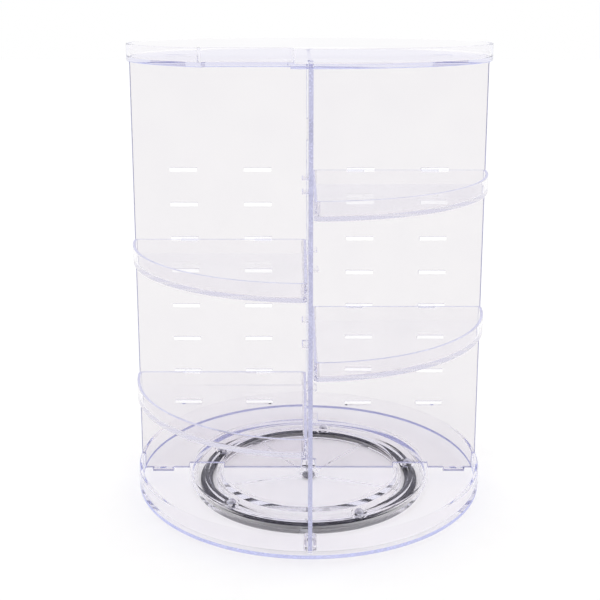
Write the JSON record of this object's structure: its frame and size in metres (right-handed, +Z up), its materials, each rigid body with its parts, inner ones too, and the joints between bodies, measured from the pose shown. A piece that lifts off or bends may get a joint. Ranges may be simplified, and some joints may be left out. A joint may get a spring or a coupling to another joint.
{
  "type": "rotating shelf carousel",
  "caption": "Clear round turntable carousel: crossed slotted panels, hook-in quarter shelves and a top tray on a ball-bearing foot.",
  "frame": {"origin": "on the turning axis, on the surface the carousel stands on", "axes": "+Z up along the turning axis; the front is -Y; the divider stands in the YZ plane and the two half panels in the XZ plane"},
  "size_m": [0.23, 0.23, 0.2981],
  "materials": {
    "clear_tray": "clear moulded plastic with a pale lavender edge",
    "clear_panel": "clear sheet plastic with lavender-blue cut edges",
    "clear_foot": "clear moulded plastic",
    "race_steel": "rolled steel strip, satin",
    "ball_steel": "polished",
    "fastener_steel": "plated, dark",
    "pad_rubber": "soft translucent rubber"
  },
  "bodies": {
    "foot": {"foot_disc": "clear_foot", "foot_pad_1": "pad_rubber", "foot_pad_2": "pad_rubber", "foot_pad_3": "pad_rubber", "foot_pad_4": "pad_rubber", "foot_pad_5": "pad_rubber", "steel_race": "race_steel"},
    "carousel": {"base_tray": "clear_tray", "divider_panel": "clear_panel", "right_panel": "clear_panel", "left_panel": "clear_panel", "pivot_screw": "fastener_steel", "pivot_washer": "fastener_steel"},
    "cage": {"ball_cage": "clear_foot"},
    "ball_1": {"ball_1": "ball_steel"},
    "ball_2": {"ball_2": "ball_steel"},
    "ball_3": {"ball_3": "ball_steel"},
    "ball_4": {"ball_4": "ball_steel"},
    "ball_5": {"ball_5": "ball_steel"},
    "shelf_right_upper": {"shelf_right_upper": "clear_tray"},
    "shelf_right_lower": {"shelf_right_lower": "clear_tray"},
    "shelf_left_upper": {"shelf_left_upper": "clear_tray"},
    "shelf_left_lower": {"shelf_left_lower": "clear_tray"},
    "top_tray": {"top_tray": "clear_tray"}
  },
  "joints": [
    {"name": "turntable_spin", "type": "hinge", "parent": "foot", "child": "carousel", "pos_m": [0, 0, 0], "axis": [0, 0, 1], "continuous": true},
    {"name": "cage_spin", "type": "hinge", "parent": "foot", "child": "cage", "pos_m": [0, 0, 0.00698], "axis": [0, 0, 1], "continuous": true},
    {"name": "ball_1_roll", "type": "hinge", "parent": "cage", "child": "ball_1", "pos_m": [0.01144, 0.06911, 0.00698], "axis": [0.1633, 0.9866, 0], "continuous": true},
    {"name": "ball_2_roll", "type": "hinge", "parent": "cage", "child": "ball_2", "pos_m": [-0.06219, 0.03224, 0.00698], "axis": [-0.8878, 0.4602, 0], "continuous": true},
    {"name": "ball_3_roll", "type": "hinge", "parent": "cage", "child": "ball_3", "pos_m": [-0.04988, -0.04919, 0.00698], "axis": [-0.712, -0.7022, 0], "continuous": true},
    {"name": "ball_4_roll", "type": "hinge", "parent": "cage", "child": "ball_4", "pos_m": [0.03137, -0.06264, 0.00698], "axis": [0.4478, -0.8942, 0], "continuous": true},
    {"name": "ball_5_roll", "type": "hinge", "parent": "cage", "child": "ball_5", "pos_m": [0.06926, 0.01047, 0.00698], "axis": [0.9888, 0.1495, 0], "continuous": true},
    {"name": "shelf_right_upper_pull", "type": "slide", "parent": "carousel", "child": "shelf_right_upper", "axis": [0.7071, -0.7071, 0], "range_m": [0, 0.08]},
    {"name": "shelf_right_lower_pull", "type": "slide", "parent": "carousel", "child": "shelf_right_lower", "axis": [0.7071, -0.7071, 0], "range_m": [0, 0.08]},
    {"name": "shelf_left_upper_pull", "type": "slide", "parent": "carousel", "child": "shelf_left_upper", "axis": [-0.7071, -0.7071, 0], "range_m": [0, 0.08]},
    {"name": "shelf_left_lower_pull", "type": "slide", "parent": "carousel", "child": "shelf_left_lower", "axis": [-0.7071, -0.7071, 0], "range_m": [0, 0.08]},
    {"name": "top_tray_lift", "type": "slide", "parent": "carousel", "child": "top_tray", "axis": [0, 0, 1], "range_m": [0, 0.02]}
  ],
  "couplings": [
    {"joint": "cage_spin", "follows": "turntable_spin", "ratio": 0.5},
    {"joint": "ball_1_roll", "follows": "turntable_spin", "ratio": -11.031},
    {"joint": "ball_2_roll", "follows": "turntable_spin", "ratio": -11.031},
    {"joint": "ball_3_roll", "follows": "turntable_spin", "ratio": -11.031},
    {"joint": "ball_4_roll", "follows": "turntable_spin", "ratio": -11.031},
    {"joint": "ball_5_roll", "follows": "turntable_spin", "ratio": -11.031}
  ]
}
